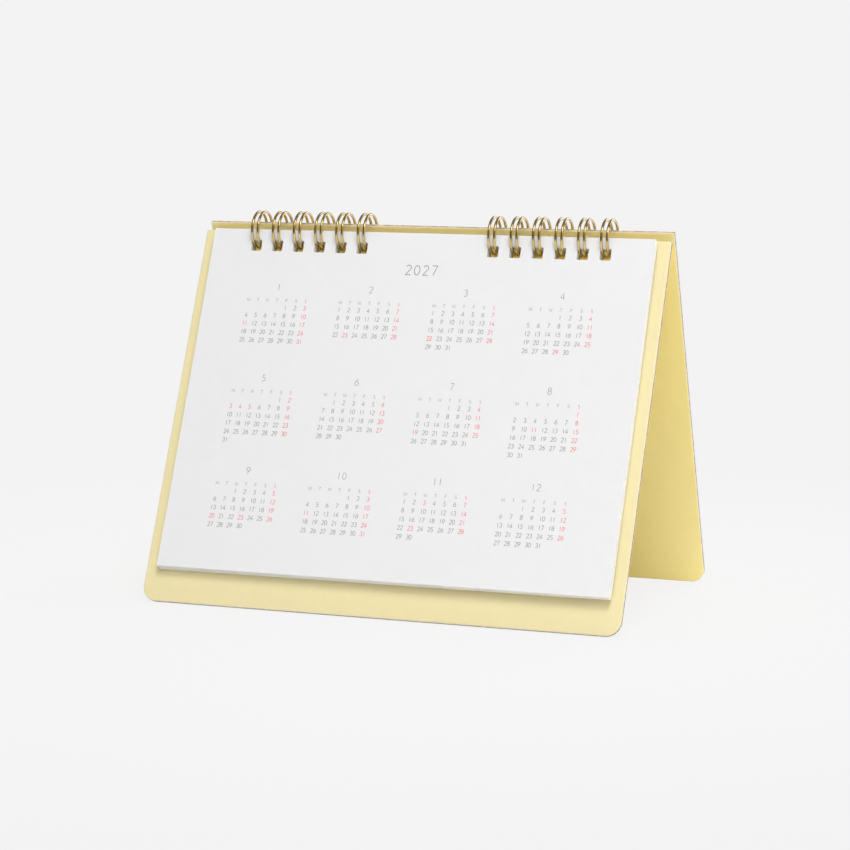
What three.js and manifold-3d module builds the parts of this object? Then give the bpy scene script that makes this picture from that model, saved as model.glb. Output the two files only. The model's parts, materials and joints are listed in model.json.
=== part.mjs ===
// A desk calendar that stands as a tent: two paper-covered chipboards and thirteen leaves,
// punched along the top and hung on two twin-loop wires.
//
// Millimetres and degrees. X runs along the rings, Y from the front of the tent to the back,
// Z up. The origin is on the floor, in the middle of the standing calendar.
// Every sheet is drawn flat from its lower edge up, and then leant to its place round the
// ring axis, the line through the middle of all the loops.

import * as THREE from "three";
import { mergeVertices } from "three/addons/utils/BufferGeometryUtils.js";
import Module from "manifold-3d";

const wasm = await Module();
wasm.setup();

// Boards
const BOARD_WIDTH = 181;
const BOARD_HEIGHT = 143.6;
const BOARD_CORNER_RADIUS = 5.5; // lower corners only, the upper ones are square
const BOARD_CORE_THICKNESS = 1.25;
const LINING_THICKNESS = 0.12;
const GLUE_LINE = 0.02; // between a lining paper and the board it covers
const FRONT_TILT = 24; // from upright

// Leaves
const MONTHS = [
  "january", "february", "march", "april", "may", "june",
  "july", "august", "september", "october", "november", "december",
];
const LEAF_WIDTH = 171;
const LEAF_HEIGHT = 130.4;
const LEAF_THICKNESS = 0.17;
const LEAF_GAP = 0.02; // air between two leaves
const LEAF_SIDE_SHIFT = 0.3; // how far the punched leaves hang to the right
const LEAF_DROP = 0.95; // from the ring axis down to the front leaf's upper edge
const LEAF_SETTLE = 0.04; // each leaf hangs this much lower than the one in front of it
const LEAF_SKEW = 0.013; // and is turned by this much, its left side down
const BLOCK_GAP_TOP = 1.4; // behind the last leaf, at its upper edge
const BLOCK_GAP_BOTTOM = 0.15; // behind the last leaf, at its lower edge

// Holes, punched in line through the boards and the leaves
const HOLE_PITCH = 25.4 / 3;
const HOLES_PER_WIRE = 6;
const FIRST_HOLE_FROM_SIDE = 22.77; // from a board's side edge to the middle of its first hole
const HOLE_WIDTH = 4.2;
const HOLE_HEIGHT = 4.3;
const BOARD_HOLE_MARGIN = 3.7; // from a board's upper edge to its holes
const LEAF_HOLE_MARGIN = 4.2; // from a leaf's upper edge to its holes

// Binding wires
const RING_RADIUS = 6.8; // to the middle of the wire
const WIRE_DIAMETER = 1;
const TWIN_SPACING = 2.23; // between the two wires of a loop
const TIP_SPACING = 1.3; // between them at the closed end of a loop
const TIP_TAPER = 34; // degrees of arc over which they draw together
const TIP_GAP = 0.45; // between a loop's closed end and the links
const LINK_CORNER_RADIUS = 0.8; // where a loop turns into the link to the next one
const LINK_GAP = 0.55; // between the links and the front board's rear face
const LOOP_STEPS = 18;
const CORNER_STEPS = 3;
const TIP_STEPS = 4;
const WIRE_SIDES = 6;

// Where the rings hold the boards
const RING_ABOVE_FRONT_TOP = 0.3;
const RING_BEFORE_FRONT_FACE = 0.4;
const RING_BELOW_BACK_TOP = 1;
const RING_TO_BACK_BOARD = 4; // from the ring axis to the back board's inner face

const rad = THREE.MathUtils.degToRad;

const YELLOW_PAPER = { color: 0xefe3b0, roughness: 0.85, metalness: 0 };
const WHITE_PAPER = { color: 0xf0f0f0, roughness: 0.8, metalness: 0 };
const CHIPBOARD = { color: 0xa08a70, roughness: 0.95, metalness: 0 };
const ANTIQUE_BRASS = { color: 0xb0945a, roughness: 0.35, metalness: 1 };

const boardThickness = BOARD_CORE_THICKNESS + 2 * (LINING_THICKNESS + GLUE_LINE);
const leafPitch = LEAF_THICKNESS + LEAF_GAP;
const leafCount = MONTHS.length + 1;
const blockThickness = leafCount * leafPitch - LEAF_GAP;

// The tent in its side view. A frame is given by the tilt of its sheet: up along the sheet,
// and out of its front side.
function sideFrame(tilt) {
  const angle = rad(tilt);
  return {
    up: new THREE.Vector3(0, Math.sin(angle), Math.cos(angle)),
    out: new THREE.Vector3(0, -Math.cos(angle), Math.sin(angle)),
  };
}

const front = sideFrame(FRONT_TILT);
const frontFoot = new THREE.Vector3(0, 0, boardThickness * Math.sin(rad(FRONT_TILT)));
const ringAxis = frontFoot.clone()
  .addScaledVector(front.up, BOARD_HEIGHT + RING_ABOVE_FRONT_TOP)
  .addScaledVector(front.out, RING_BEFORE_FRONT_FACE);

// The back board leans so that its lower inner edge stands on the floor while the rings pass
// through its holes.
const backReach = BOARD_HEIGHT - RING_BELOW_BACK_TOP;
const backDiagonal = Math.hypot(backReach, RING_TO_BACK_BOARD);
const BACK_TILT = THREE.MathUtils.radToDeg(
  Math.acos(ringAxis.z / backDiagonal) - Math.atan(RING_TO_BACK_BOARD / backReach),
);
const back = sideFrame(-BACK_TILT);
const backFoot = ringAxis.clone()
  .addScaledVector(back.up, -backReach)
  .addScaledVector(back.out, -RING_TO_BACK_BOARD);

// The block of leaves hangs clear of the front board at the top and lies on it at the bottom.
const blockGapChange = Math.atan((BLOCK_GAP_TOP - BLOCK_GAP_BOTTOM) / LEAF_HEIGHT);
const LEAF_TILT = FRONT_TILT - THREE.MathUtils.radToDeg(blockGapChange);
const leafFront = BLOCK_GAP_TOP + blockThickness - RING_BEFORE_FRONT_FACE;

// The standing calendar's depth, from the front board's lower edge to the back board's.
const depth = backFoot.y + boardThickness * Math.cos(rad(BACK_TILT));
const toMiddle = new THREE.Vector3(0, -depth / 2, 0);

// Middle of hole number i of all, counted from the left. The right wire's holes mirror the left's.
function holePlace(i) {
  if (i >= HOLES_PER_WIRE) {
    return -holePlace(2 * HOLES_PER_WIRE - 1 - i);
  }
  return FIRST_HOLE_FROM_SIDE - BOARD_WIDTH / 2 + i * HOLE_PITCH;
}

// A closed geometry as a solid that can be cut, and back again.
function toSolid(geometry) {
  geometry.deleteAttribute("normal");
  geometry.deleteAttribute("uv");
  const merged = mergeVertices(geometry);
  return new wasm.Manifold(new wasm.Mesh({
    numProp: 3,
    vertProperties: merged.attributes.position.array,
    triVerts: merged.index.array,
  }));
}

function toGeometry(solid) {
  const mesh = solid.getMesh();
  const geometry = new THREE.BufferGeometry();
  geometry.setAttribute("position", new THREE.BufferAttribute(mesh.vertProperties, 3));
  geometry.setIndex(new THREE.BufferAttribute(mesh.triVerts, 1));
  geometry.computeVertexNormals();
  return geometry;
}

// A flat sheet with its lower edge on y = 0 and its lower corners rounded off.
function outlineGeometry(width, height, thickness, cornerRadius) {
  const half = width / 2;
  const shape = new THREE.Shape();
  shape.moveTo(half, height);
  shape.lineTo(-half, height);
  if (cornerRadius > 0) {
    shape.absarc(cornerRadius - half, cornerRadius, cornerRadius, Math.PI, 1.5 * Math.PI, false);
    shape.absarc(half - cornerRadius, cornerRadius, cornerRadius, 1.5 * Math.PI, 2 * Math.PI, false);
  } else {
    shape.lineTo(-half, 0);
    shape.lineTo(half, 0);
  }
  return new THREE.ExtrudeGeometry(shape, { depth: thickness, bevelEnabled: false, curveSegments: 6 });
}

// The sheet with its row of square holes punched along the upper edge.
function sheetGeometry(width, height, thickness, cornerRadius, holeMargin) {
  let sheet = toSolid(outlineGeometry(width, height, thickness, cornerRadius));
  for (let i = 0; i < 2 * HOLES_PER_WIRE; i += 1) {
    const punch = new THREE.BoxGeometry(HOLE_WIDTH, HOLE_HEIGHT, 3 * thickness);
    punch.translate(holePlace(i), height - holeMargin - HOLE_HEIGHT / 2, thickness / 2);
    sheet = sheet.subtract(toSolid(punch));
  }
  return toGeometry(sheet);
}

function namedMesh(name, geometry, finish) {
  const mesh = new THREE.Mesh(geometry, new THREE.MeshStandardMaterial(finish));
  mesh.name = name;
  return mesh;
}

// A group that leans a sheet: its y runs up the sheet and its z out of the sheet's front.
function leaning(tilt, place) {
  const group = new THREE.Group();
  group.rotation.x = Math.PI / 2 - rad(tilt);
  group.position.copy(place).add(toMiddle);
  return group;
}

// A covered board: a chipboard core between two lining papers. Its front side is at z = 0.
function board(tilt, foot, coreName, frontPaperName, rearPaperName) {
  const layers = [
    [frontPaperName, LINING_THICKNESS, -LINING_THICKNESS, YELLOW_PAPER],
    [coreName, BOARD_CORE_THICKNESS, GLUE_LINE + LINING_THICKNESS - boardThickness, CHIPBOARD],
    [rearPaperName, LINING_THICKNESS, -boardThickness, YELLOW_PAPER],
  ];
  const group = leaning(tilt, foot);
  for (const [name, thickness, z, finish] of layers) {
    const layer = sheetGeometry(
      BOARD_WIDTH, BOARD_HEIGHT, thickness, BOARD_CORNER_RADIUS, BOARD_HOLE_MARGIN,
    );
    const mesh = namedMesh(name, layer, finish);
    mesh.position.z = z;
    group.add(mesh);
  }
  return group;
}

// The leaves hang from the ring axis, the year leaf first and december last. The further back
// a leaf hangs, the lower it meets the rings, and the whole block has slipped a little aslant.
function leaves() {
  const group = leaning(LEAF_TILT, ringAxis);
  const names = ["year_leaf", ...MONTHS.map((month) => `${month}_leaf`)];
  names.forEach((name, i) => {
    const sheet = sheetGeometry(LEAF_WIDTH, LEAF_HEIGHT, LEAF_THICKNESS, 0, LEAF_HOLE_MARGIN);
    sheet.translate(0, -LEAF_HEIGHT, -LEAF_THICKNESS);
    const mesh = namedMesh(name, sheet, WHITE_PAPER);
    mesh.position.set(LEAF_SIDE_SHIFT, -LEAF_DROP - i * LEAF_SETTLE, leafFront - i * leafPitch);
    mesh.rotation.z = rad(i * LEAF_SKEW);
    group.add(mesh);
  });
  return group;
}

// A point of the loops: across is along X, angle goes round the ring axis in degrees, from
// the back over the top to the front.
function ringPoint(across, angle) {
  const y = ringAxis.y + RING_RADIUS * Math.cos(rad(angle));
  const z = ringAxis.z + RING_RADIUS * Math.sin(rad(angle));
  return new THREE.Vector3(across, y, z).add(toMiddle);
}

// The links between the loops lie inside the tent, just behind the front board.
const linkBehindAxis = RING_BEFORE_FRONT_FACE + boardThickness + LINK_GAP + WIRE_DIAMETER / 2;
const linkSwing = THREE.MathUtils.radToDeg(Math.asin(linkBehindAxis / RING_RADIUS));
const linkAngle = -90 - FRONT_TILT + linkSwing;
const degreesPerMillimetre = THREE.MathUtils.radToDeg(1 / RING_RADIUS);
const tipAngle = linkAngle + 360 - (WIRE_DIAMETER + TIP_GAP) * degreesPerMillimetre;
const cornerArc = LINK_CORNER_RADIUS * degreesPerMillimetre;
const tipArc = (TIP_SPACING / 2) * degreesPerMillimetre;

// Half the spacing of a loop's two wires at an angle: full at the link, drawn in at the tip.
function halfSpacing(angle) {
  const left = THREE.MathUtils.clamp((tipAngle - tipArc - angle) / TIP_TAPER, 0, 1);
  const ease = THREE.MathUtils.smoothstep(left, 0, 1);
  return THREE.MathUtils.lerp(TIP_SPACING, TWIN_SPACING, ease) / 2;
}

// One half of a twin loop, from its link corner to the closed tip, on the left or right side.
function halfLoop(middle, side) {
  const points = [];
  for (let i = 0; i < CORNER_STEPS; i += 1) {
    const turn = (i / CORNER_STEPS) * (Math.PI / 2);
    const across = middle + side * (TWIN_SPACING / 2 + LINK_CORNER_RADIUS * (1 - Math.sin(turn)));
    points.push(ringPoint(across, linkAngle + cornerArc * (1 - Math.cos(turn))));
  }
  const from = linkAngle + cornerArc;
  const to = tipAngle - tipArc;
  for (let i = 0; i <= LOOP_STEPS; i += 1) {
    const angle = from + ((to - from) * i) / LOOP_STEPS;
    points.push(ringPoint(middle + side * halfSpacing(angle), angle));
  }
  return points;
}

// The whole wire as one line: link, loop, closed tip, loop, link and so on.
function wirePoints(firstHole) {
  const points = [];
  for (let i = 0; i < HOLES_PER_WIRE; i += 1) {
    const middle = holePlace(firstHole + i);
    const left = halfLoop(middle, -1);
    const right = halfLoop(middle, 1).reverse();
    if (i === 0) {
      left.splice(0, CORNER_STEPS);
    }
    if (i === HOLES_PER_WIRE - 1) {
      right.splice(-CORNER_STEPS);
    }
    const tip = [];
    for (let k = 1; k < TIP_STEPS; k += 1) {
      const turn = (k / TIP_STEPS) * Math.PI;
      const across = middle - (TIP_SPACING / 2) * Math.cos(turn);
      tip.push(ringPoint(across, tipAngle - tipArc * (1 - Math.sin(turn))));
    }
    points.push(...left, ...tip, ...right);
  }
  return points;
}

// A round wire along a line of points, with flat ends. Each section is turned as little as
// possible from the one before it, so that the tube doesn't twist.
function wireGeometry(points) {
  const directions = points.map((point, i) => {
    const before = points[Math.max(i - 1, 0)];
    const after = points[Math.min(i + 1, points.length - 1)];
    return after.clone().sub(before).normalize();
  });
  let side = new THREE.Vector3(1, 0, 0).projectOnPlane(directions[0]).normalize();
  const positions = [];
  points.forEach((point, i) => {
    side = side.clone().projectOnPlane(directions[i]).normalize();
    const third = directions[i].clone().cross(side);
    for (let k = 0; k < WIRE_SIDES; k += 1) {
      const turn = (k / WIRE_SIDES) * 2 * Math.PI;
      const corner = point.clone()
        .addScaledVector(side, (WIRE_DIAMETER / 2) * Math.cos(turn))
        .addScaledVector(third, (WIRE_DIAMETER / 2) * Math.sin(turn));
      positions.push(corner.x, corner.y, corner.z);
    }
  });
  const indices = [];
  for (let i = 0; i + 1 < points.length; i += 1) {
    for (let k = 0; k < WIRE_SIDES; k += 1) {
      const next = (k + 1) % WIRE_SIDES;
      const a = i * WIRE_SIDES + k;
      const b = i * WIRE_SIDES + next;
      indices.push(a, b, b + WIRE_SIDES, a, b + WIRE_SIDES, a + WIRE_SIDES);
    }
  }
  const last = (points.length - 1) * WIRE_SIDES;
  for (let k = 1; k + 1 < WIRE_SIDES; k += 1) {
    indices.push(0, k + 1, k, last, last + k, last + k + 1);
  }
  const geometry = new THREE.BufferGeometry();
  geometry.setAttribute("position", new THREE.Float32BufferAttribute(positions, 3));
  geometry.setIndex(indices);
  geometry.computeVertexNormals();
  return geometry;
}

// The least gap between two stretches of the wire, from its middle line's points. Points
// less than a few wire diameters apart along the wire are the same stretch.
function leastGap(points) {
  const along = [0];
  for (let i = 1; i < points.length; i += 1) {
    along.push(along[i - 1] + points[i].distanceTo(points[i - 1]));
  }
  const sameStretch = 3 * WIRE_DIAMETER;
  let least = Infinity;
  for (let i = 0; i < points.length; i += 1) {
    for (let j = i + 1; j < points.length; j += 1) {
      if (along[j] - along[i] > sameStretch) {
        least = Math.min(least, points[i].distanceTo(points[j]) - WIRE_DIAMETER);
      }
    }
  }
  return least;
}

function bindingWire(name, firstHole) {
  const points = wirePoints(firstHole);
  console.log(`${name}: least gap to itself ${leastGap(points).toFixed(2)} mm`);
  return namedMesh(name, wireGeometry(points), ANTIQUE_BRASS);
}

const group = new THREE.Group();
group.add(board(
  FRONT_TILT, frontFoot, "front_board_core", "front_board_face_paper", "front_board_rear_paper",
));
group.add(board(
  -BACK_TILT, backFoot, "back_board_core", "back_board_inner_paper", "back_board_outer_paper",
));
group.add(leaves());
group.add(bindingWire("binding_wire_left", 0));
group.add(bindingWire("binding_wire_right", HOLES_PER_WIRE));

export default group;
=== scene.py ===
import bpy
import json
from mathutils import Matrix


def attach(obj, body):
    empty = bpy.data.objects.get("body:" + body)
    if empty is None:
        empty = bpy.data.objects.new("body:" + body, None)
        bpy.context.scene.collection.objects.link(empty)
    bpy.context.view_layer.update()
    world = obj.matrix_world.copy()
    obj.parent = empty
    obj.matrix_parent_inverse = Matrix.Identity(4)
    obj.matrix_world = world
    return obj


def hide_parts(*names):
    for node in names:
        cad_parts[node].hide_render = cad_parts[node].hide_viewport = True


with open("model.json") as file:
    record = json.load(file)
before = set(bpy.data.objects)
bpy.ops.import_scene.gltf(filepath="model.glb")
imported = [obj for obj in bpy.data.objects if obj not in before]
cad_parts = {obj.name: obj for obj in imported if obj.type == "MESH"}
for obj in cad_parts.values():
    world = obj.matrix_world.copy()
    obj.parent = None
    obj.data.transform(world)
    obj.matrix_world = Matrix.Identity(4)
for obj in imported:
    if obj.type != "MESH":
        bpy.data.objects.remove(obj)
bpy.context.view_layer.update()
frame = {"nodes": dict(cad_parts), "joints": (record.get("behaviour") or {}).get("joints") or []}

# A desk calendar that stands as a tent: two paper-lined chipboards and thirteen white
# leaves, hung on two twin-loop wires. Lengths are metres unless a name or a comment says
# otherwise.

import calendar
import json
import math
import random

import bmesh
import bpy
from mathutils import Matrix, Vector

bl_info = {
    "name": "Desk calendar",
    "version": (1, 0, 0),
    "blender": (4, 5, 0),
    "location": "3D View > Sidebar > Desk calendar",
    "description": "Lined boards, printed leaves and binding wires of a tent calendar",
    "category": "Object",
}

MM = 0.001

# The calendar's year, and what its leaves are called.
YEAR = 2027
MONTHS = [
    "january", "february", "march", "april", "may", "june",
    "july", "august", "september", "october", "november", "december",
]

# Days printed red besides the Sundays, by month.
RED_DAYS = {
    1: (1, 11), 2: (11, 23), 3: (22,), 4: (29,), 5: (3, 4, 5), 7: (19,),
    8: (11,), 9: (20, 23), 10: (11,), 11: (3, 23),
}
WEEKDAYS = "MTWTFSS"
SUNDAY = 6

# How a die rolls a lined board's edge over: inset from the edge, and drop there. The lining
# is torn open, and shows its pale inner fibres, from less than this inset to the cut.
ROLL = [
    (0.6 * MM, 0.0), (0.35 * MM, 0.03 * MM), (0.16 * MM, 0.09 * MM), (0.05 * MM, 0.15 * MM),
    (0.0, 0.21 * MM)]
TORN_INSET = 0.1 * MM

# How a punched sheet of the frame is read: its front is level within the first length. The
# corners of its holes lie further in from the outline than the margin, and no lower than the
# zone. Those of one hole are closer together than the last length.
SAME_FACE = 0.01 * MM
OUTLINE_MARGIN = 1.5 * MM
HOLE_ZONE = 15 * MM
HOLE_GROUP = 6 * MM

# How its corners are drawn: the radius of a sharp one, the least radius where the edge is
# rolled, and the steps round a corner of the outline and of a hole.
SHARP_CORNER = 0.15 * MM
LEAST_RADIUS = 0.02 * MM
OUTLINE_STEPS = 8
HOLE_STEPS = 4

# The leaves curl below this share of their height, cut into cells that follow it. The first
# ones stand off a little more.
CURL_START = 0.45
CURL_BANDS = 14
CURL_COLUMNS = 16
PARTED_LEAVES = 6
CURL_AT_LEFT = 0.2
PARTING_AT_RIGHT = 0.3

# The route of a binding wire: angles in degrees round the ring axis, from the back upwards.
FRONT_TILT = 24
LINK_BEHIND_AXIS = 2.98 * MM
TIP_GAP = 0.45 * MM
TIP_TAPER = 34
LINK_CORNER_RADIUS = 0.8 * MM
CORNER_STEPS = 6
LOOP_STEPS = 60
TIP_STEPS = 8
WIRE_SIDES = 14

# How the loops differ, as shares of the sway: each bows a little inwards, and its two wires
# lean apart or together.
CHANCE = random.Random(12)
INWARD_BOW = (-0.9, -0.3)
LEAN_APART = (-0.3, 0.3)

# Characters higher than this are drawn with the finer stroke.
LARGE_CHARACTER = 2.3 * MM
CHARACTER_STRETCH = 1.14
DIGIT_WIDTH = 0.5
SHARPEST_MITRE = 0.5
SAME_POINT = 1e-9

# The year leaf's layout in millimetres, from its upper left corner: the year, and the first
# month's block with the steps from month to month and from day to day.
YEAR_MIDDLE = (84.65, 14.26)
YEAR_SIZE = (3.68, 3.36)
MONTH_STEP = (36.63, 35.26)
MONTHS_ACROSS = 4
MONTH_NUMBER = (29.7, 22.42)
MONTH_NUMBER_SIZE = (2.42, 2.1)
FIRST_INITIAL = (18.3, 27.64)
INITIAL_SIZE = (1.16, 1.28)
FIRST_DAY = (18.3, 30.38)
DAY_STEP = (3.8125, 3.209)
DAY_SIZE = (1.58, 1.1)

# A month leaf's layout, in the same way.
SHEET_NUMBER = (85.0, 17.0)
SHEET_NUMBER_SIZE = (7.0, 5.6)
SHEET_INITIAL = (22.5, 29.0)
SHEET_INITIAL_SIZE = (2.2, 2.0)
SHEET_DAY = (22.5, 39.0)
SHEET_DAY_STEP = (21.0, 16.0)
SHEET_DAY_SIZE = (4.2, 2.9)

# What the camera and the lights look at, and the floor's disc.
LOOK_AT = Vector((19.531, -56.549, 69.919)) * MM
SENSOR_WIDTH_MM = 36
LIGHT_AIM = Vector((0, 0, 0.07))
FLOOR_RADIUS = 4.0
FLOOR_SIDES = 96

# The lights: name, size, power in watts, place, and whether the wires mirror it.
LIGHTS = [
    ("front_box", 0.6, 6.0, (0.40, -0.64, 1.05), True),
    ("front_fill", 0.5, 7.2, (0.25, -0.5, 1.3), False),
    ("right_box", 0.8, 3.0, (1.15, 0.0, 0.4), True),
    ("rear_box", 0.8, 3.8, (0.5, 1.0, 0.5), True),
    ("rear_fill", 0.8, 4.8, (0.5, 1.0, 0.5), False),
    ("left_fill", 1.4, 1.6, (-0.95, -0.62, 0.42), False),
    ("top_rear_fill", 1.0, 7.5, (0.1, 0.5, 1.3), False),
    ("low_fill", 2.0, 1.6, (0.3, -1.7, 0.3), False),
]


def linear(hex_colour):
    """An sRGB hex colour as linear red, green, blue and alpha."""
    channels = [int(hex_colour[i:i + 2], 16) / 255 for i in (1, 3, 5)]
    curved = [c / 12.92 if c <= 0.04045 else ((c + 0.055) / 1.055) ** 2.4 for c in channels]
    return (*curved, 1.0)


# Settings


class BoardSettings(bpy.types.PropertyGroup):
    lining: bpy.props.FloatVectorProperty(
        name="Lining", description="Colour of the lining paper on the outsides of the tent",
        subtype="COLOR", size=4, min=0, max=1, default=linear("#e9dcaa"))
    # Lighter and more saturated than the outer lining: painted bounce light, standing in for the
    # yellow light between the boards inside the tent.
    inner_lining: bpy.props.FloatVectorProperty(
        name="Inner lining", description="Colour of the lining paper on the insides of the tent",
        subtype="COLOR", size=4, min=0, max=1, default=linear("#fdeda3"))
    lining_edge: bpy.props.FloatVectorProperty(
        name="Lining edge", description="Colour of the lining's cut edge",
        subtype="COLOR", size=4, min=0, max=1, default=linear("#e6e1d2"))
    chipboard: bpy.props.FloatVectorProperty(
        name="Chipboard", description="Colour of the board's grey-brown core",
        subtype="COLOR", size=4, min=0, max=1, default=linear("#a58c78"))
    corner_radius: bpy.props.FloatProperty(
        name="Corner radius", description="Radius of the lower corners",
        unit="LENGTH", default=5.5 * MM, precision=4)
    hole_corner_radius: bpy.props.FloatProperty(
        name="Hole corner radius", description="Radius left by the punch in each hole's corners",
        unit="LENGTH", default=0.5 * MM, precision=4)


class LeafSettings(bpy.types.PropertyGroup):
    paper: bpy.props.FloatVectorProperty(
        name="Paper", description="Colour of the leaves",
        subtype="COLOR", size=4, min=0, max=1, default=linear("#e4e4e5"))
    # Lighter than the faces' paper: partly the cream of bare pulp, partly painted light on the
    # block's edges.
    paper_edge: bpy.props.FloatVectorProperty(
        name="Paper edge", description="Colour of the leaves' cut edges",
        subtype="COLOR", size=4, min=0, max=1, default=linear("#fbf9f1"))
    hole_corner_radius: bpy.props.FloatProperty(
        name="Hole corner radius", description="Radius left by the punch in each hole's corners",
        unit="LENGTH", default=0.4 * MM, precision=4)
    curl: bpy.props.FloatProperty(
        name="Curl", description="How far the leaves' lower right corner stands off the board",
        unit="LENGTH", default=1.2 * MM, precision=4)
    parting: bpy.props.FloatProperty(
        name="Parting", description="How much further the front leaves stand off, at the left",
        unit="LENGTH", default=0.35 * MM, precision=4)


class PrintSettings(bpy.types.PropertyGroup):
    grey_ink: bpy.props.FloatVectorProperty(
        name="Grey ink", description="Colour of the ordinary days",
        subtype="COLOR", size=4, min=0, max=1, default=linear("#929092"))
    red_ink: bpy.props.FloatVectorProperty(
        name="Red ink", description="Colour of Sundays and holidays",
        subtype="COLOR", size=4, min=0, max=1, default=linear("#ea6a70"))
    stroke: bpy.props.FloatProperty(
        name="Stroke", description="Stroke width of small characters, as a share of their height",
        subtype="FACTOR", min=0.02, max=0.3, default=0.12)
    large_stroke: bpy.props.FloatProperty(
        name="Large stroke", description="The same share for large characters",
        subtype="FACTOR", min=0.02, max=0.3, default=0.085)
    ink_height: bpy.props.FloatProperty(
        name="Ink height", description="How far the ink stands on the paper",
        unit="LENGTH", default=0.012 * MM, precision=6)


class WireSettings(bpy.types.PropertyGroup):
    brass: bpy.props.FloatVectorProperty(
        name="Brass", description="Colour of the antique brass finish",
        subtype="COLOR", size=4, min=0, max=1, default=linear("#caae68"))
    diameter: bpy.props.FloatProperty(
        name="Diameter", description="Diameter of the wire",
        unit="LENGTH", default=1.0 * MM, precision=5)
    ring_radius: bpy.props.FloatProperty(
        name="Ring radius", description="From the ring axis to the middle of the wire",
        unit="LENGTH", default=6.8 * MM, precision=5)
    twin_spacing: bpy.props.FloatProperty(
        name="Twin spacing", description="Between the two wires of a loop",
        unit="LENGTH", default=2.23 * MM, precision=5)
    tip_spacing: bpy.props.FloatProperty(
        name="Tip spacing", description="Between the two wires at a loop's closed end",
        unit="LENGTH", default=1.3 * MM, precision=5)
    sway: bpy.props.FloatProperty(
        name="Sway", description="How far a loop may lean from its even place",
        unit="LENGTH", default=0.12 * MM, precision=5)


class StageSettings(bpy.types.PropertyGroup):
    backdrop: bpy.props.FloatVectorProperty(
        name="Backdrop", description="Colour of the floor and the background",
        subtype="COLOR", size=4, min=0, max=1, default=linear("#f3f3f3"))
    shadow: bpy.props.FloatProperty(
        name="Shadow", description="How much of the calendar's shadow shows on the floor",
        subtype="FACTOR", min=0, max=1, default=0.08)
    lens: bpy.props.FloatProperty(
        name="Lens", description="Focal length on a 36 mm sensor, in millimetres",
        unit="CAMERA", default=116.26)
    azimuth: bpy.props.FloatProperty(
        name="Azimuth", description="Camera's angle round the calendar",
        subtype="ANGLE", default=math.radians(20.759))
    elevation: bpy.props.FloatProperty(
        name="Elevation", description="Camera's angle above the floor",
        subtype="ANGLE", default=math.radians(7.335))
    roll: bpy.props.FloatProperty(
        name="Roll", description="Camera's turn about its view",
        subtype="ANGLE", default=math.radians(0.181))
    distance: bpy.props.FloatProperty(
        name="Distance", description="From the camera to the point it looks at",
        unit="LENGTH", default=949.55 * MM)


SETTINGS = {
    "calendar_boards": BoardSettings,
    "calendar_leaves": LeafSettings,
    "calendar_prints": PrintSettings,
    "calendar_wires": WireSettings,
    "calendar_stage": StageSettings,
}


# Materials


def grey(value):
    """A plain grey."""
    return (value, value, value, 1.0)


def shaded(colour, share):
    """A colour made darker or lighter by a share."""
    return (*(min(c * share, 1.0) for c in colour[:3]), 1.0)


def grain(size_mm):
    """The texture scale that makes one feature about this many millimetres wide."""
    return 1000 / size_mm


def new_material(name):
    """An empty material with its node tree."""
    material = bpy.data.materials.new(name)
    material.use_nodes = True
    material.node_tree.nodes.clear()
    return material, material.node_tree


def add(tree, kind, inputs=None, **settings):
    """Adds a node with its settings. An input is a value, or a socket to link from."""
    node = tree.nodes.new(kind)
    for key, value in settings.items():
        setattr(node, key, value)
    for key, value in (inputs or {}).items():
        if isinstance(value, bpy.types.NodeSocket):
            tree.links.new(value, node.inputs[key])
        else:
            node.inputs[key].default_value = value
    return node


def object_place(tree):
    """The place of a point in its piece's own space."""
    return add(tree, "ShaderNodeTexCoord").outputs["Object"]


def noise(tree, size_mm, detail, roughness=0.5, distortion=0.0):
    """Noise through the piece, with features about this many millimetres wide."""
    return add(tree, "ShaderNodeTexNoise", {
        "Vector": object_place(tree), "Scale": grain(size_mm), "Detail": detail,
        "Roughness": roughness, "Distortion": distortion}).outputs["Fac"]


def share_added(tree, value, share, base):
    """A share of one value, added to another."""
    return add(tree, "ShaderNodeMath", {0: value, 1: share, 2: base},
               operation="MULTIPLY_ADD").outputs["Value"]


def ramp(tree, value, stops):
    """Colours along a value, each stop with its position and its colour."""
    node = add(tree, "ShaderNodeValToRGB", {"Fac": value})
    elements = node.color_ramp.elements
    while len(elements) < len(stops):
        elements.new(1.0)
    for element, (position, colour) in zip(elements, stops):
        element.position = position
        element.color = colour
    return node.outputs["Color"]


def bump(tree, height, strength, distance):
    """Normals of a surface that rises and falls by this distance."""
    return add(tree, "ShaderNodeBump", {
        "Height": height, "Strength": strength, "Distance": distance}).outputs["Normal"]


def surface(tree, inputs):
    """Ends a material with a principled shader."""
    shader = add(tree, "ShaderNodeBsdfPrincipled", inputs)
    add(tree, "ShaderNodeOutputMaterial", {"Surface": shader.outputs["BSDF"]})


# Dyed lining paper: a coloured bookbinder's paper, dyed in the pulp and rolled smooth, then
# glued on. Its short fibres lie in faint clouds, so the yellow is never quite even, and the
# rolled surface has a fine tooth and a faint, broad sheen.
def lining_paper(name, dye):
    material, tree = new_material(name)
    clouds = noise(tree, 6, detail=3, roughness=0.55)
    # Real fibres are about 0.05 mm thick; they are drawn 0.7 mm wide, so that they show.
    fibres = noise(tree, 0.7, detail=4, roughness=0.65, distortion=0.8)
    both = share_added(tree, clouds, 0.45, fibres)
    colour = ramp(tree, both, [
        (0.45, shaded(dye, 0.97)), (0.72, dye[:]), (1.0, shaded(dye, 1.02))])
    surface(tree, {
        "Base Color": colour, "Roughness": 0.6, "IOR": 1.45, "Specular IOR Level": 0.6,
        "Normal": bump(tree, fibres, strength=0.12, distance=0.05 * MM)})
    return material


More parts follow.
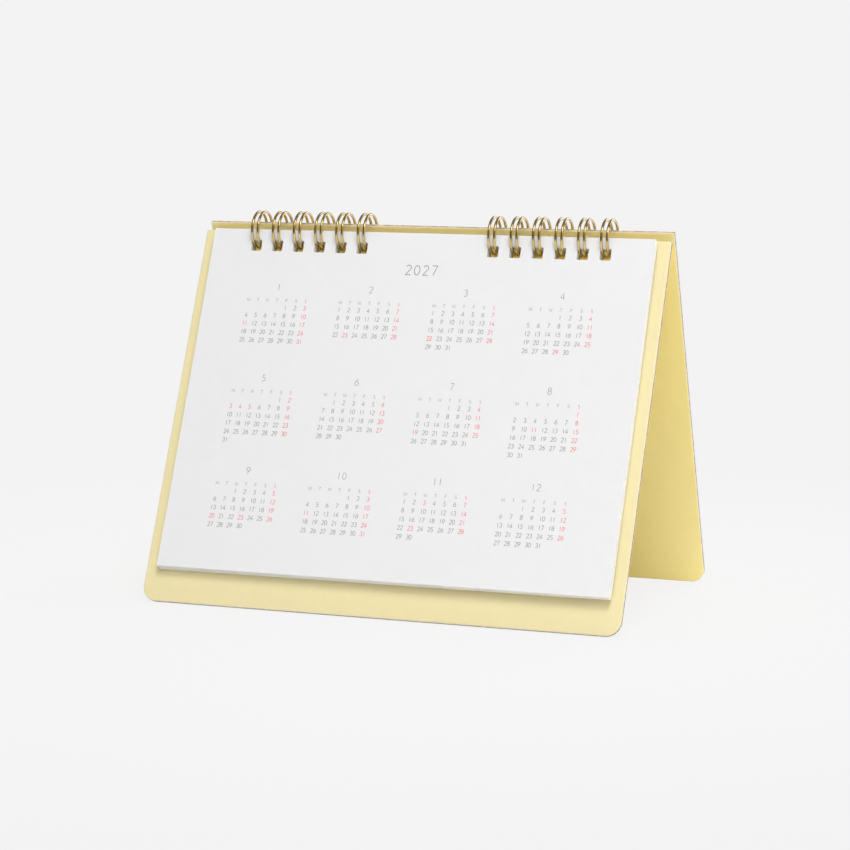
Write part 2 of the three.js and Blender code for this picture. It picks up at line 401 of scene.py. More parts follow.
# Cut edge of the lining: the knife shears the paper and leaves its pale inner fibres bare,
# which reads as a thin whitish line along the yellow.
def lining_cut_edge(boards):
    material, tree = new_material("lining_paper_cut_edge")
    fray = noise(tree, 0.9, detail=3)
    colour = ramp(tree, fray, [
        (0.35, shaded(boards.lining_edge, 0.86)), (0.65, boards.lining_edge[:])])
    surface(tree, {"Base Color": colour, "Roughness": 0.9, "IOR": 1.45})
    return material


# Chipboard: waste paper pressed in layers. Where the die cuts it, the layers show as brown
# and grey flecks that run along the board.
def chipboard(boards):
    material, tree = new_material("pressed_chipboard")
    flecks = noise(tree, 1.6, detail=5, roughness=0.7)
    specks = add(tree, "ShaderNodeTexVoronoi", {
        "Vector": object_place(tree), "Scale": grain(0.8), "Randomness": 1.0})
    both = share_added(tree, specks.outputs["Distance"], 0.3, flecks)
    colour = ramp(tree, both, [
        (0.42, shaded(boards.chipboard, 0.45)),
        (0.6, shaded(boards.chipboard, 0.85)),
        (0.78, shaded(boards.chipboard, 1.5))])
    surface(tree, {
        "Base Color": colour, "Roughness": 0.95, "IOR": 1.45, "Specular IOR Level": 0.2,
        "Normal": bump(tree, both, strength=0.5, distance=0.1 * MM)})
    return material


# Uncoated offset paper: bleached pulp, calendered. It is a matt, slightly cloudy white with
# hardly any sheen.
def offset_paper(leaves):
    material, tree = new_material("uncoated_offset_paper")
    clouds = noise(tree, 6, detail=4, roughness=0.6)
    colour = ramp(tree, clouds, [(0.3, shaded(leaves.paper, 0.985)), (0.7, leaves.paper[:])])
    # The sheet is smooth but not flat: it cockles by some hundredths of a millimetre.
    cockle = noise(tree, 12, detail=1)
    surface(tree, {
        "Base Color": colour, "Roughness": 0.8, "IOR": 1.45, "Specular IOR Level": 0.3,
        "Normal": bump(tree, cockle, strength=0.5, distance=0.03 * MM)})
    return material


# Guillotined edge of the leaves: bare pulp, a little creamier than the faces, and much lighter
# than them as painted light, standing in for the light the block's edges take from the floor and
# through the paper.
def leaf_cut_edge(leaves):
    material, tree = new_material("offset_paper_cut_edge_with_painted_light")
    fibres = noise(tree, 1.2, detail=3)
    colour = ramp(tree, fibres, [
        (0.35, shaded(leaves.paper_edge, 0.9)), (0.6, leaves.paper_edge[:])])
    surface(tree, {"Base Color": colour, "Roughness": 0.85, "IOR": 1.45})
    return material


# Offset ink: a thin film that sinks into the paper, so it is matt and a little uneven.
def offset_ink(name, ink):
    material, tree = new_material(name)
    mottle = noise(tree, 0.8, detail=3)
    colour = ramp(tree, mottle, [(0.3, shaded(ink, 0.92)), (0.7, shaded(ink, 1.06))])
    surface(tree, {
        "Base Color": colour, "Roughness": 0.75, "IOR": 1.48, "Specular IOR Level": 0.3})
    return material


# Antique brass wire: drawn steel wire with a brass-coloured, tinted lacquer. It mirrors the
# room softly, with a whitish glint from the lacquer over the dull gold.
def antique_brass(wires):
    material, tree = new_material("antique_brass_wire")
    tarnish = noise(tree, 2.5, detail=4, roughness=0.6)
    colour = ramp(tree, tarnish, [
        (0.3, shaded(wires.brass, 0.8)),
        (0.55, wires.brass[:]),
        (0.75, shaded(wires.brass, 1.1))])
    dullness = ramp(tree, tarnish, [(0.3, grey(0.26)), (0.7, grey(0.16))])
    # Marks of the drawing die are far below 0.1 mm; they are drawn 0.4 mm wide.
    marks = noise(tree, 0.4, detail=2)
    surface(tree, {
        "Base Color": colour, "Metallic": 1.0, "Roughness": dullness,
        "Coat Weight": 1.0, "Coat Roughness": 0.08,
        "Normal": bump(tree, marks, strength=0.04, distance=0.03 * MM)})
    return material


# Studio sweep: matt white paper on a table in a dim room. It lights the calendar as real
# paper does and ends some way off, but is itself seen as evenly lit as the background, with
# only a trace of the calendar's shadow.
def studio_floor(stage):
    material, tree = new_material("studio_floor_paper")
    even = add(tree, "ShaderNodeEmission", {"Color": stage.backdrop[:]})
    away = add(tree, "ShaderNodeVectorMath", {0: object_place(tree)},
               operation="LENGTH").outputs["Value"]
    table = ramp(tree, away, [(0.6, stage.backdrop[:]), (1.0, grey(0.2))])
    paper = add(tree, "ShaderNodeBsdfDiffuse", {"Color": table})
    evenness = add(tree, "ShaderNodeMapRange", {
        "Value": away, "From Min": 0.12, "From Max": 0.4,
        "To Min": 1 - stage.shadow, "To Max": 1}, interpolation_type="SMOOTHSTEP")
    seen = add(tree, "ShaderNodeLightPath").outputs["Is Camera Ray"]
    share = add(tree, "ShaderNodeMath", {0: evenness.outputs["Result"], 1: seen},
                operation="MULTIPLY")
    both = add(tree, "ShaderNodeMixShader", {
        0: share.outputs["Value"], 1: paper.outputs["BSDF"], 2: even.outputs["Emission"]})
    add(tree, "ShaderNodeOutputMaterial", {"Surface": both.outputs["Shader"]})
    return material


# Shapes


class SheetPlace:
    """Where a punched sheet of the frame lies. The matrix has its origin in the middle of the
    front's upper edge, x to the right, y up the sheet and z out of its front."""

    def __init__(self, node):
        mesh = frame["nodes"][node].data
        face = max((p for p in mesh.polygons if p.normal.y < 0), key=lambda p: p.area)
        out = face.normal.normalized()
        points = [v.co.copy() for v in mesh.vertices]
        level = max(p.dot(out) for p in points)
        front = [p for p in points if level - p.dot(out) < SAME_FACE]
        up = out.cross(Vector((1, 0, 0)))
        left_top = min(front, key=lambda p: p.x - p.dot(up))
        right_top = max(front, key=lambda p: p.x + p.dot(up))
        right = (right_top - left_top).normalized()
        up = out.cross(right)
        middle = (left_top + right_top) / 2
        self.width = (right_top - left_top).length
        self.height = (middle - min(front, key=lambda p: p.dot(up))).dot(up)
        self.thickness = level - min(p.dot(out) for p in points)
        self.matrix = Matrix((
            (right.x, up.x, out.x, middle.x),
            (right.y, up.y, out.y, middle.y),
            (right.z, up.z, out.z, middle.z),
            (0, 0, 0, 1)))
        to_local = self.matrix.inverted()
        flat = [to_local @ p for p in front]
        self.holes = self.measured_holes([
            p for p in flat
            if abs(p.x) < self.width / 2 - OUTLINE_MARGIN and -HOLE_ZONE < p.y < -OUTLINE_MARGIN])

    def measured_holes(self, corners):
        """Middle, width and height of each hole, from its corners on the sheet."""
        groups = []
        for corner in sorted(corners, key=lambda p: p.x):
            if groups and corner.x - groups[-1][0].x < HOLE_GROUP:
                groups[-1].append(corner)
            else:
                groups.append([corner])
        holes = []
        for group in groups:
            xs = [c.x for c in group]
            ys = [c.y for c in group]
            holes.append((
                (min(xs) + max(xs)) / 2, (min(ys) + max(ys)) / 2,
                max(xs) - min(xs), max(ys) - min(ys)))
        return holes


def rounded(middle_x, middle_y, width, height, upper_radius, lower_radius, steps):
    """A rectangle with rounded corners, as points that run round it once."""
    corners = [
        (1, 1, upper_radius, 0), (-1, 1, upper_radius, 90),
        (-1, -1, lower_radius, 180), (1, -1, lower_radius, 270)]
    points = []
    for side_x, side_y, radius, start in corners:
        centre_x = middle_x + side_x * (width / 2 - radius)
        centre_y = middle_y + side_y * (height / 2 - radius)
        for i in range(steps + 1):
            turn = math.radians(start + 90 * i / steps)
            points.append((centre_x + radius * math.cos(turn), centre_y + radius * math.sin(turn)))
    return points


def closed_loop(bm, points, z):
    """The vertices of one outline at a height."""
    return [bm.verts.new((x, y, z)) for x, y in points]


def wall(bm, upper, lower, slot):
    """Faces between two outlines with as many points."""
    count = len(upper)
    for i in range(count):
        following = (i + 1) % count
        face = bm.faces.new((upper[i], lower[i], lower[following], upper[following]))
        face.material_index = slot


def filled(bm, loops):
    """The flat face between an outline and the holes in it."""
    edges = []
    for loop in loops:
        for i, vertex in enumerate(loop):
            edges.append(bm.edges.get((vertex, loop[(i + 1) % len(loop)])))
    bmesh.ops.triangle_fill(bm, edges=edges, use_beauty=True)


def rolled_rim(thickness, slot):
    """The profile of a board's lining: rolled over the edge by the die, cut, and back inside."""
    outside = [
        (inset, drop, 0 if inset > TORN_INSET else slot) for inset, drop in ROLL]
    underside = [(inset, drop + thickness, 0) for inset, drop in reversed(ROLL)]
    cut = (0, ROLL[-1][1] + thickness, slot)
    return [*outside, cut, *underside[1:]]


def punched_sheet(place, corner_radius, hole_corner, rim, flipped=False):
    """A sheet with its holes. The rim lists steps from the good side to the other: how far
    inside the outline, how deep, and the material slot of the wall that leads to it."""
    bm = bmesh.new()
    stacks = []
    for inset, depth, _ in rim:
        z = depth - place.thickness if flipped else -depth
        outline = rounded(
            0, -place.height / 2, place.width - 2 * inset, place.height - 2 * inset,
            max(SHARP_CORNER - inset, LEAST_RADIUS), max(corner_radius - inset, SHARP_CORNER),
            OUTLINE_STEPS)
        level = [closed_loop(bm, outline, z)]
        for x, y, width, height in place.holes:
            hole = rounded(
                x, y, width + 2 * inset, height + 2 * inset,
                hole_corner + inset, hole_corner + inset, HOLE_STEPS)
            level.append(closed_loop(bm, hole, z))
        stacks.append(level)
    for upper, lower, (_, _, slot) in zip(stacks, stacks[1:], rim[1:]):
        for first, second in zip(upper, lower):
            wall(bm, first, second, slot)
    filled(bm, stacks[0])
    filled(bm, stacks[-1])
    bmesh.ops.recalc_face_normals(bm, faces=bm.faces)
    bm.transform(place.matrix)
    return bm


def curl(bm, place, index, leaves):
    """Lets the lower half of a leaf, and of its print, stand off the board in a slight curl.
    The front leaves stand off a little more, so the block shows a parting at its lower edge."""
    parted = index < PARTED_LEAVES
    at_left = leaves.curl * CURL_AT_LEFT
    at_right = leaves.curl
    if parted:
        at_left += leaves.parting
        at_right += leaves.parting * PARTING_AT_RIGHT
    out = place.matrix.to_3x3() @ Vector((0, 0, 1))
    to_local = place.matrix.inverted()
    for vertex in bm.verts:
        flat = to_local @ vertex.co
        low = max((-flat.y / place.height - CURL_START) / (1 - CURL_START), 0)
        right = flat.x / place.width + 0.5
        vertex.co += out * (at_left * (1 - right) + at_right * right) * low ** 2


def cut_across(bm, place):
    """Cuts the lower part of a leaf into cells that can follow the curl."""
    turn = place.matrix.to_3x3()
    to_local = place.matrix.inverted()
    top = -CURL_START * place.height
    for i in range(CURL_BANDS):
        level = top * (1 - i / CURL_BANDS) - place.height * i / CURL_BANDS
        bmesh.ops.bisect_plane(
            bm, geom=bm.verts[:] + bm.edges[:] + bm.faces[:],
            plane_co=place.matrix @ Vector((0, level, 0)), plane_no=turn @ Vector((0, 1, 0)))
    for i in range(1, CURL_COLUMNS):
        faces = [f for f in bm.faces if (to_local @ f.calc_center_median()).y < top]
        low = set(faces)
        edges = [e for e in bm.edges if low.intersection(e.link_faces)]
        corners = [v for v in bm.verts if low.intersection(v.link_faces)]
        across = place.width * (i / CURL_COLUMNS - 0.5)
        bmesh.ops.bisect_plane(
            bm, geom=corners + edges + faces,
            plane_co=place.matrix @ Vector((across, 0, 0)), plane_no=turn @ Vector((1, 0, 0)))


def new_piece(name, bm, materials, smooth=False):
    """A mesh object with its materials, in the scene."""
    mesh = bpy.data.meshes.new(name)
    bm.to_mesh(mesh)
    bm.free()
    for material in materials:
        mesh.materials.append(material)
    for polygon in mesh.polygons:
        polygon.use_smooth = smooth
    piece = bpy.data.objects.new(name, mesh)
    bpy.context.scene.collection.objects.link(piece)
    return piece


def stand_in(piece, node, body):
    """Lets a piece take the place of a node of the frame."""
    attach(piece, body)
    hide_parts(node)


# Characters, drawn as pen strokes in a cell that is one high. Each entry is a list of
# strokes, and a stroke that ends where it starts is a closed one.


def arc(x, y, radius_x, radius_y, start, end, steps=10):
    """Points on an ellipse from one angle to another, in degrees."""
    points = []
    for i in range(steps + 1):
        turn = math.radians(start + (end - start) * i / steps)
        points.append((x + radius_x * math.cos(turn), y + radius_y * math.sin(turn)))
    return points


def turned(strokes):
    """A character turned upside down in its cell."""
    return [[(0.5 - x, 1 - y) for x, y in stroke] for stroke in strokes]


SIX = [
    [(0.42, 1.0), (0.24, 0.76), (0.08, 0.5), (0.01, 0.3)],
    arc(0.25, 0.3, 0.25, 0.3, 0, 360, 14),
]
CHARACTERS = {
    "0": [arc(0.25, 0.5, 0.25, 0.5, 0, 360, 16)],
    "1": [[(0.25, 0.0), (0.25, 1.0)]],
    "2": [arc(0.25, 0.74, 0.22, 0.26, 160, -25) + [(0.02, 0.0), (0.48, 0.0)]],
    "3": [arc(0.22, 0.76, 0.22, 0.24, 140, -80) + arc(0.22, 0.26, 0.25, 0.26, 80, -145)],
    "4": [[(0.36, 0.0), (0.36, 1.0), (0.0, 0.27), (0.52, 0.27)]],
    "5": [[(0.44, 1.0), (0.13, 1.0), (0.09, 0.56)] + arc(0.2, 0.3, 0.25, 0.3, 112, -140)],
    "6": SIX,
    "7": [[(0.02, 1.0), (0.48, 1.0), (0.16, 0.0)]],
    "8": [
        arc(0.25, 0.76, 0.2, 0.24, 0, 360, 14),
        arc(0.25, 0.27, 0.24, 0.27, 0, 360, 14)],
    "9": turned(SIX),
    "M": [[(0.0, 0.0), (0.0, 1.0), (0.38, 0.2), (0.76, 1.0), (0.76, 0.0)]],
    "T": [[(0.0, 1.0), (0.6, 1.0)], [(0.3, 1.0), (0.3, 0.0)]],
    "W": [[(0.0, 1.0), (0.22, 0.0), (0.44, 0.9), (0.66, 0.0), (0.88, 1.0)]],
    "F": [[(0.05, 0.0), (0.05, 1.0), (0.52, 1.0)], [(0.05, 0.53), (0.46, 0.53)]],
    "S": [arc(0.27, 0.76, 0.21, 0.24, 40, 240, 9) + arc(0.27, 0.25, 0.23, 0.27, 70, -140, 9)],
}
CHARACTER_WIDTHS = {"M": 0.76, "T": 0.6, "W": 0.88, "F": 0.52}


def offset_sides(points, closed, half):
    """The two sides of a stroke, with mitred corners."""
    steps = [
        Vector((after[0] - before[0], after[1] - before[1])).normalized()
        for before, after in zip(points, points[1:] + points[:1])]
    left = []
    right = []
    for i, (x, y) in enumerate(points):
        inward = steps[i - 1]
        onward = steps[i]
        if not closed and i == 0:
            inward = onward
        if not closed and i == len(points) - 1:
            onward = inward
        along = (inward + onward).normalized()
        across = Vector((-along.y, along.x))
        square = Vector((-inward.y, inward.x))
        # A mitre grows with the bend, up to twice the stroke's half width.
        reach = half / max(across.dot(square), SHARPEST_MITRE)
        left.append((x + across.x * reach, y + across.y * reach))
        right.append((x - across.x * reach, y - across.y * reach))
    return left, right


def stroke_solid(bm, points, half, top):
    """One pen stroke as a closed ribbon of ink that lies on z = 0."""
    closed = math.dist(points[0], points[-1]) < SAME_POINT
    if closed:
        points = points[:-1]
    left, right = offset_sides(points, closed, half)
    rails = [
        [bm.verts.new((x, y, z)) for x, y in side]
        for side, z in ((left, top), (right, top), (right, 0), (left, 0))]
    count = len(points)
    for i in range(count if closed else count - 1):
        following = (i + 1) % count
        for rail, beside in zip(rails, rails[1:] + rails[:1]):
            bm.faces.new((rail[i], beside[i], beside[following], rail[following]))
    if not closed:
        bm.faces.new([rail[0] for rail in reversed(rails)])
        bm.faces.new([rail[-1] for rail in rails])


def write(bm, text, x, y, height, advance, prints):
    """Characters centred on a point of the sheet, each one advance after the last."""
    share = prints.large_stroke if height > LARGE_CHARACTER else prints.stroke
    start = x - advance * (len(text) - 1) / 2
    for i, character in enumerate(text):
        width = CHARACTER_WIDTHS.get(character, DIGIT_WIDTH) * CHARACTER_STRETCH
        left = start + i * advance - width * height / 2
        low = y - height / 2
        for stroke in CHARACTERS[character]:
            placed = [
                (left + px * CHARACTER_STRETCH * height, low + py * height) for px, py in stroke]
            stroke_solid(bm, placed, share * height / 2, prints.ink_height)


def month_days(month):
    """Each day of a month with its column and row, Monday first."""
    for row, week in enumerate(calendar.Calendar().monthdayscalendar(YEAR, month)):
        for column, day in enumerate(week):
            if day:
                yield day, column, row


def is_red(month, day, column):
    """True for a Sunday or a holiday."""
    return column == SUNDAY or day in RED_DAYS.get(month, ())


def ink_piece(name, bm, place, index, ink, body):
    """Turns drawn ink into a piece that lies on its leaf and moves with it."""
    bmesh.ops.recalc_face_normals(bm, faces=bm.faces)
    bm.transform(place.matrix)
    curl(bm, place, index, bpy.context.scene.calendar_leaves)
    piece = new_piece(name, bm, [ink])
    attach(piece, body)
    return piece


# Wires


class RingRoute:
    """The middle line of a binding wire, round the ring axis of the frame."""

    def __init__(self, wires, middles):
        self.wires = wires
        self.axis = Vector(frame["joints"][0]["pos_m"])
        self.middles = middles
        self.link_angle = -90 - FRONT_TILT + math.degrees(
            math.asin(LINK_BEHIND_AXIS / wires.ring_radius))
        self.per_length = math.degrees(1 / wires.ring_radius)
        self.tip_angle = self.link_angle + 360 - (wires.diameter + TIP_GAP) * self.per_length
        self.corner_arc = LINK_CORNER_RADIUS * self.per_length
        self.tip_arc = wires.tip_spacing / 2 * self.per_length

    def point(self, across, angle, radius):
        """A point at an angle and a distance round the ring axis."""
        turn = math.radians(angle)
        return Vector((
            across,
            self.axis.y + radius * math.cos(turn),
            self.axis.z + radius * math.sin(turn)))

    def half_spacing(self, angle):
        """Half the distance between a loop's two wires, which close in on the tip."""
        before_tip = min(max((self.tip_angle - self.tip_arc - angle) / TIP_TAPER, 0), 1)
        ease = before_tip * before_tip * (3 - 2 * before_tip)
        return (self.wires.tip_spacing * (1 - ease) + self.wires.twin_spacing * ease) / 2

    def half_loop(self, middle, side, sway, swell):
        """One wire of a twin loop, from its link corner to the closed tip."""
        wires = self.wires
        points = []
        for i in range(CORNER_STEPS):
            turn = i / CORNER_STEPS * math.pi / 2
            across = wires.twin_spacing / 2 + LINK_CORNER_RADIUS * (1 - math.sin(turn))
            angle = self.link_angle + self.corner_arc * (1 - math.cos(turn))
            points.append(self.point(middle + side * across, angle, wires.ring_radius))
        start = self.link_angle + self.corner_arc
        end = self.tip_angle - self.tip_arc
        for i in range(LOOP_STEPS + 1):
            share = i / LOOP_STEPS
            angle = start + (end - start) * share
            bow = math.sin(math.pi * share)
            across = middle + side * self.half_spacing(angle) + sway * bow
            points.append(self.point(across, angle, wires.ring_radius + swell * bow))
        return points

    def all_points(self):
        """The whole wire as one line: link, loop, closed tip, loop, link and so on."""
        wires = self.wires
        points = []
        last = len(self.middles) - 1
        for i, middle in enumerate(self.middles):
            lean = CHANCE.uniform(-wires.sway, wires.sway)
            swell = CHANCE.uniform(*INWARD_BOW) * wires.sway
            apart = CHANCE.uniform(*LEAN_APART) * wires.sway
            left = self.half_loop(middle, -1, lean - apart, swell)
            right = self.half_loop(middle, 1, lean + apart, swell)[::-1]
            if i == 0:
                left = left[CORNER_STEPS:]
            if i == last:
                right = right[:-CORNER_STEPS]
            tip = []
            for k in range(1, TIP_STEPS):
                turn = k / TIP_STEPS * math.pi
                across = middle - wires.tip_spacing / 2 * math.cos(turn)
                angle = self.tip_angle - self.tip_arc * (1 - math.sin(turn))
                tip.append(self.point(across, angle, wires.ring_radius))
            points += left + tip + right
        return points


def round_wire(points, radius):
    """A tube round a line of points, closed with flat ends."""
    bm = bmesh.new()
    count = len(points)
    side = Vector((1, 0, 0))
    rings = []
    for i, point in enumerate(points):
        along = (points[min(i + 1, count - 1)] - points[max(i - 1, 0)]).normalized()
        side = (side - along * side.dot(along)).normalized()
        third = along.cross(side)
        ring = []
        for k in range(WIRE_SIDES):
            turn = 2 * math.pi * k / WIRE_SIDES
            ring.append(bm.verts.new(
                point + radius * (side * math.cos(turn) + third * math.sin(turn))))
        rings.append(ring)
    for ring, following in zip(rings, rings[1:]):
        wall(bm, ring, following, 0)
    bm.faces.new(rings[0][::-1])
    bm.faces.new(rings[-1])
    bmesh.ops.recalc_face_normals(bm, faces=bm.faces)
    return bm


# Operators


class CALENDAR_OT_boards(bpy.types.Operator):
    """Makes the front and back boards, each a chipboard core between two lining papers"""
    bl_idname = "calendar.boards"
    bl_label = "Boards"

    def execute(self, context):
        boards = context.scene.calendar_boards
        cut = lining_cut_edge(boards)
        outside = [lining_paper("dyed_lining_paper", boards.lining), cut]
        # The insides of the tent get a lighter, more saturated copy of the lining paper as painted
        # bounce light.
        inside = [lining_paper("inner_lining_paper_painted_bounce", boards.inner_lining), cut]
        core = [chipboard(boards)]
        for board, papers in (
            ("front_board", (("face_paper", outside, False), ("rear_paper", inside, True))),
            ("back_board", (("inner_paper", inside, False), ("outer_paper", outside, True))),
        ):
            node = f"{board}_core"
            place = SheetPlace(node)
            upper = [(inset, drop, 0) for inset, drop in ROLL]
            lower = [(inset, place.thickness - drop, 0) for inset, drop in reversed(ROLL)]
            bm = punched_sheet(
                place, boards.corner_radius, boards.hole_corner_radius, upper + lower)
            stand_in(new_piece(f"{board}_chipboard", bm, core), node, board)
            for paper, lining, flipped in papers:
                node = f"{board}_{paper}"
                place = SheetPlace(node)
                bm = punched_sheet(
                    place, boards.corner_radius, boards.hole_corner_radius,
                    rolled_rim(place.thickness, 1), flipped)
                stand_in(new_piece(f"{board}_{paper}_lining", bm, lining), node, board)
        return {"FINISHED"}


class CALENDAR_OT_leaves(bpy.types.Operator):
    """Makes the year leaf and the twelve month leaves"""
    bl_idname = "calendar.leaves"
    bl_label = "Leaves"

    def execute(self, context):
        leaves = context.scene.calendar_leaves
        paper = [offset_paper(leaves), leaf_cut_edge(leaves)]
        for index, name in enumerate(["year", *MONTHS]):
            node = f"{name}_leaf"
            place = SheetPlace(node)
            rim = [(0, 0, 0), (0, place.thickness, 1)]
            bm = punched_sheet(place, SHARP_CORNER, leaves.hole_corner_radius, rim)
            cut_across(bm, place)
            curl(bm, place, index, leaves)
            stand_in(new_piece(f"{name}_sheet", bm, paper), node, node)
        return {"FINISHED"}


class CALENDAR_OT_year_print(bpy.types.Operator):
    """Prints the year overview: the year, month numbers, weekday initials and days"""
    bl_idname = "calendar.year_print"
    bl_label = "Year print"

    def execute(self, context):
        prints = context.scene.calendar_prints
        place = SheetPlace("year_leaf")
        grey_ink = offset_ink("grey_offset_ink", prints.grey_ink)
        red_ink = offset_ink("red_offset_ink", prints.red_ink)
        names = {
            "year": "year_number", "months": "month_numbers", "weekdays": "weekday_initials",
            "days": "day_numbers", "red": "red_day_numbers"}
        layers = {layer: bmesh.new() for layer in names}
        left = -place.width / 2

        def put(layer, text, first, size, across=0.0, down=0.0):
            """Writes at a place in millimetres from the sheet's upper left corner."""
            write(layers[layer], text, left + (first[0] + across) * MM,
                  -(first[1] + down) * MM, size[0] * MM, size[1] * MM, prints)

        put("year", str(YEAR), YEAR_MIDDLE, YEAR_SIZE)
        for month in range(1, 13):
            block_across = (month - 1) % MONTHS_ACROSS * MONTH_STEP[0]
            block_down = (month - 1) // MONTHS_ACROSS * MONTH_STEP[1]
            put("months", str(month), MONTH_NUMBER, MONTH_NUMBER_SIZE, block_across, block_down)
            for column, initial in enumerate(WEEKDAYS):
                layer = "red" if column == SUNDAY else "weekdays"
                across = block_across + column * DAY_STEP[0]
                put(layer, initial, FIRST_INITIAL, INITIAL_SIZE, across, block_down)
            for day, column, row in month_days(month):
                layer = "red" if is_red(month, day, column) else "days"
                across = block_across + column * DAY_STEP[0]
                down = block_down + row * DAY_STEP[1]
                put(layer, str(day), FIRST_DAY, DAY_SIZE, across, down)
        for layer, bm in layers.items():
            ink = red_ink if layer == "red" else grey_ink
            ink_piece(names[layer], bm, place, 0, ink, "year_leaf")
        return {"FINISHED"}


class CALENDAR_OT_month_prints(bpy.types.Operator):
    """Prints a plain grid of large day numbers on each month leaf"""
    bl_idname = "calendar.month_prints"
    bl_label = "Month prints"

    def execute(self, context):
        prints = context.scene.calendar_prints
        grey_ink = bpy.data.materials["grey_offset_ink"]
        red_ink = bpy.data.materials["red_offset_ink"]
        for month, name in enumerate(MONTHS, 1):
            body = f"{name}_leaf"
            place = SheetPlace(body)
            left = -place.width / 2
            plain = bmesh.new()
            red = bmesh.new()

            def put(layer, text, first, size, column=0, row=0):
                """Writes at a place in millimetres from the sheet's upper left corner."""
                across = first[0] + column * SHEET_DAY_STEP[0]
                down = first[1] + row * SHEET_DAY_STEP[1]
                write(layer, text, left + across * MM, -down * MM,
                      size[0] * MM, size[1] * MM, prints)

            put(plain, str(month), SHEET_NUMBER, SHEET_NUMBER_SIZE)
            for column, initial in enumerate(WEEKDAYS):
                layer = red if column == SUNDAY else plain
                put(layer, initial, SHEET_INITIAL, SHEET_INITIAL_SIZE, column)
            for day, column, row in month_days(month):
                layer = red if is_red(month, day, column) else plain
                put(layer, str(day), SHEET_DAY, SHEET_DAY_SIZE, column, row)
            ink_piece(f"{name}_day_numbers", plain, place, month, grey_ink, body)
            ink_piece(f"{name}_red_numbers", red, place, month, red_ink, body)
        return {"FINISHED"}


class CALENDAR_OT_wires(bpy.types.Operator):
    """Makes the two binding wires, each one wire bent into six twin loops"""
    bl_idname = "calendar.wires"
    bl_label = "Binding wires"

    def execute(self, context):
        wires = context.scene.calendar_wires
        brass = antique_brass(wires)
        core = SheetPlace("front_board_core")
        middles = [(core.matrix @ Vector((x, y, 0))).x for x, y, _, _ in core.holes]
        half = len(middles) // 2
        for name, own in (
            ("binding_wire_left", middles[:half]), ("binding_wire_right", middles[half:]),
        ):
            route = RingRoute(wires, own)
            bm = round_wire(route.all_points(), wires.diameter / 2)
            piece = new_piece(f"{name}_brass", bm, [brass], smooth=True)
            stand_in(piece, name, name)
        return {"FINISHED"}


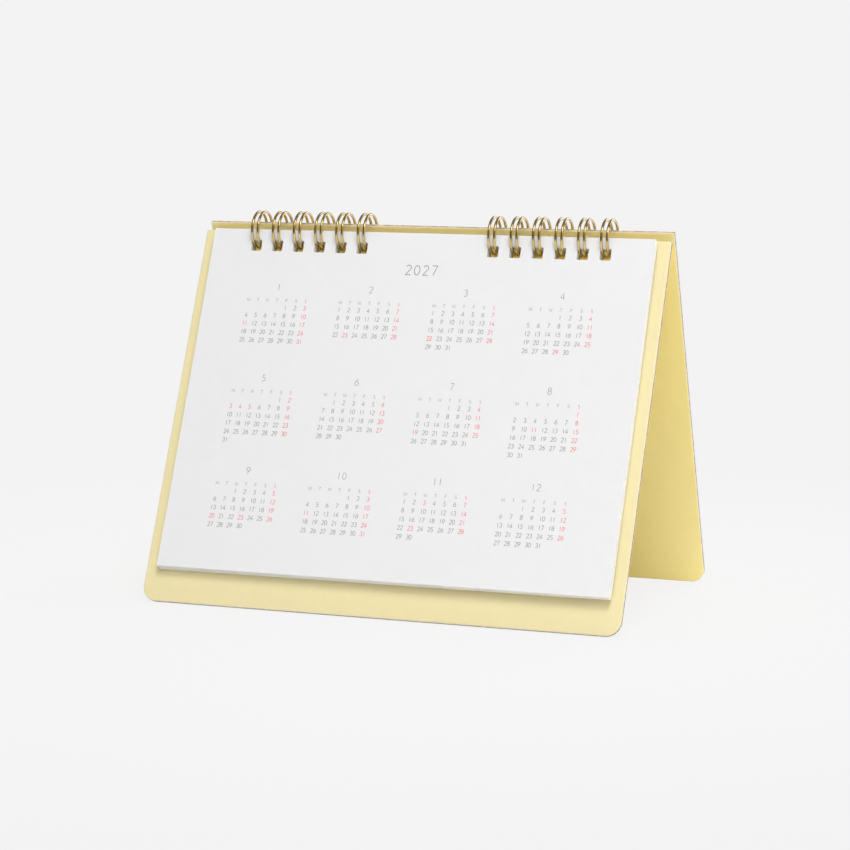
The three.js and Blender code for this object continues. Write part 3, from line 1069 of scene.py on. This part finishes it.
class CALENDAR_OT_stage(bpy.types.Operator):
    """Sets up the floor, the light and the camera"""
    bl_idname = "calendar.stage"
    bl_label = "Stage"

    def execute(self, context):
        stage = context.scene.calendar_stage
        self.floor(stage)
        self.sky(stage)
        self.lights()
        self.camera(stage)
        context.scene.view_settings.view_transform = "Standard"
        return {"FINISHED"}

    def floor(self, stage):
        """A wide disc of studio paper."""
        bm = bmesh.new()
        bmesh.ops.create_circle(bm, cap_ends=True, segments=FLOOR_SIDES, radius=FLOOR_RADIUS)
        floor = new_piece("floor", bm, [studio_floor(stage)])

    def sky(self, stage):
        """A dim room that is a little lighter overhead; the camera itself sees the backdrop."""
        world = bpy.data.worlds.new("studio")
        bpy.context.scene.world = world
        world.use_nodes = True
        tree = world.node_tree
        tree.nodes.clear()
        way = add(tree, "ShaderNodeTexCoord").outputs["Generated"]
        height = add(tree, "ShaderNodeSeparateXYZ", {"Vector": way}).outputs["Z"]
        room = ramp(tree, height, [
            (0.0, grey(0.15)), (0.35, grey(0.15)), (0.75, grey(0.22)), (1.0, grey(0.26))])
        seen = add(tree, "ShaderNodeLightPath").outputs["Is Camera Ray"]
        plain = add(tree, "ShaderNodeBackground", {"Color": stage.backdrop[:]})
        around = add(tree, "ShaderNodeBackground", {"Color": room})
        both = add(tree, "ShaderNodeMixShader", {
            0: seen, 1: around.outputs["Background"], 2: plain.outputs["Background"]})
        add(tree, "ShaderNodeOutputWorld", {"Surface": both.outputs["Shader"]})

    def lights(self):
        """Soft boxes that the wires mirror, and fills that only light."""
        for name, size, energy, place, mirrored in LIGHTS:
            box = bpy.data.lights.new(name, "AREA")
            box.shape = "SQUARE"
            box.size = size
            box.energy = energy
            lamp = bpy.data.objects.new(name, box)
            lamp.location = place
            aim = LIGHT_AIM - lamp.location
            lamp.rotation_euler = aim.to_track_quat("-Z", "Y").to_euler()
            lamp.visible_glossy = mirrored
            bpy.context.scene.collection.objects.link(lamp)

    def camera(self, stage):
        """The photograph's view: round the calendar, a little above it and slightly rolled."""
        data = bpy.data.cameras.new("camera")
        data.lens = stage.lens
        data.sensor_width = SENSOR_WIDTH_MM
        data.sensor_fit = "HORIZONTAL"
        camera = bpy.data.objects.new("camera", data)
        around = stage.azimuth
        above = stage.elevation
        back = Vector((
            math.sin(around) * math.cos(above),
            -math.cos(around) * math.cos(above),
            math.sin(above)))
        right = Vector((math.cos(around), math.sin(around), 0))
        up = back.cross(right)
        turned_right = right * math.cos(stage.roll) + up * math.sin(stage.roll)
        turned_up = up * math.cos(stage.roll) - right * math.sin(stage.roll)
        eye = LOOK_AT + back * stage.distance
        camera.matrix_world = Matrix((
            (turned_right.x, turned_up.x, back.x, eye.x),
            (turned_right.y, turned_up.y, back.y, eye.y),
            (turned_right.z, turned_up.z, back.z, eye.z),
            (0, 0, 0, 1)))
        bpy.context.scene.collection.objects.link(camera)
        bpy.context.scene.camera = camera


STEPS = [
    CALENDAR_OT_boards, CALENDAR_OT_leaves, CALENDAR_OT_year_print, CALENDAR_OT_month_prints,
    CALENDAR_OT_wires, CALENDAR_OT_stage,
]


class CALENDAR_PT_panel(bpy.types.Panel):
    """Lists the steps that make the calendar"""
    bl_idname = "CALENDAR_PT_panel"
    bl_label = "Desk calendar"
    bl_space_type = "VIEW_3D"
    bl_region_type = "UI"
    bl_category = "Desk calendar"

    def draw(self, context):
        for step in STEPS:
            self.layout.operator(step.bl_idname)
        for group in SETTINGS:
            box = self.layout.box()
            for name in SETTINGS[group].__annotations__:
                box.prop(getattr(context.scene, group), name)


def register():
    for name, group in SETTINGS.items():
        bpy.utils.register_class(group)
        setattr(bpy.types.Scene, name, bpy.props.PointerProperty(type=group))
    for kind in [*STEPS, CALENDAR_PT_panel]:
        bpy.utils.register_class(kind)


def unregister():
    for kind in [CALENDAR_PT_panel, *reversed(STEPS)]:
        bpy.utils.unregister_class(kind)
    for name, group in SETTINGS.items():
        delattr(bpy.types.Scene, name)
        bpy.utils.unregister_class(group)


def main():
    register()
    bpy.ops.calendar.boards()
    bpy.ops.calendar.leaves()
    bpy.ops.calendar.year_print()
    bpy.ops.calendar.month_prints()
    bpy.ops.calendar.wires()
    bpy.ops.calendar.stage()


if __name__ == "__main__":
    main()
